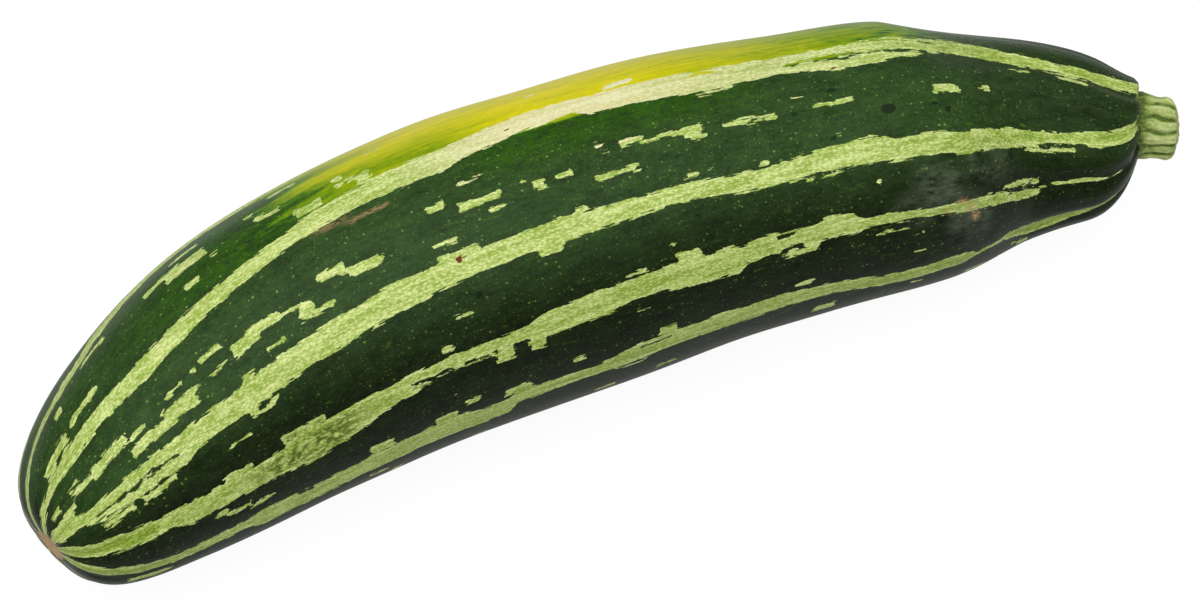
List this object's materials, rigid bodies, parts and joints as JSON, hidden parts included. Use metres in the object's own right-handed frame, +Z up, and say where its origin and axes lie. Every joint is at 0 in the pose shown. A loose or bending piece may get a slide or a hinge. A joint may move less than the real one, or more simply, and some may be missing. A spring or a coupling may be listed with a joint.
{
  "type": "zucchini",
  "caption": "Whole striped zucchini as picked: a long, gently bent, blunt-ended fruit with a short cut stem, lying on its side to rest on a kitchen surface or in a crate.",
  "frame": {"origin": "on the surface that the zucchini lies on, under the middle of its bounding box", "axes": "+X runs along its length from the blossom end to the stem, +Z is up, and the outside of its bend faces +Y"},
  "size_m": [0.312, 0.0818, 0.0786],
  "materials": {
    "skin": "satin",
    "stem": "matte"
  },
  "bodies": {
    "root": {"fruit": "skin", "stem": "stem"}
  },
  "joints": []
}
